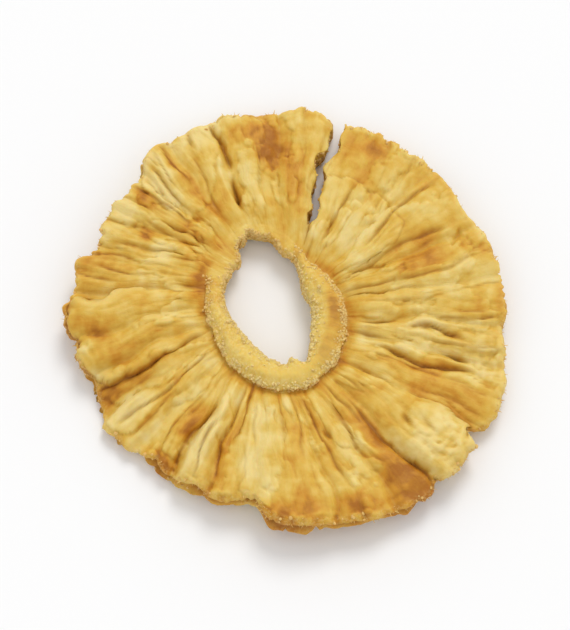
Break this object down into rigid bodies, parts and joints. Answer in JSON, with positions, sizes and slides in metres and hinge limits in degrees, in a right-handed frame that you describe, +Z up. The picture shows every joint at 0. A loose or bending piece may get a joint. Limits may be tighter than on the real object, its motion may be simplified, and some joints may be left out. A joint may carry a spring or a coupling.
{
  "type": "dried pineapple ring",
  "caption": "Dried pineapple ring lying flat: golden, wrinkled lobes of flesh around an oval cored hole with a raised pale collar, a frayed rim and an open radial split.",
  "frame": {"origin": "on the surface that the ring rests on, under the middle of its bounding box", "axes": "+Z up, out of the better face; +Y towards the side with the split; +X to the right when seen from above with +Y away"},
  "size_m": [0.0814, 0.0844, 0.0082],
  "materials": {
    "dried_flesh": "leathery dried fruit flesh, golden yellow with browned folds, slightly waxy sheen"
  },
  "bodies": {
    "root": {"pineapple_ring": "dried_flesh"}
  },
  "joints": []
}
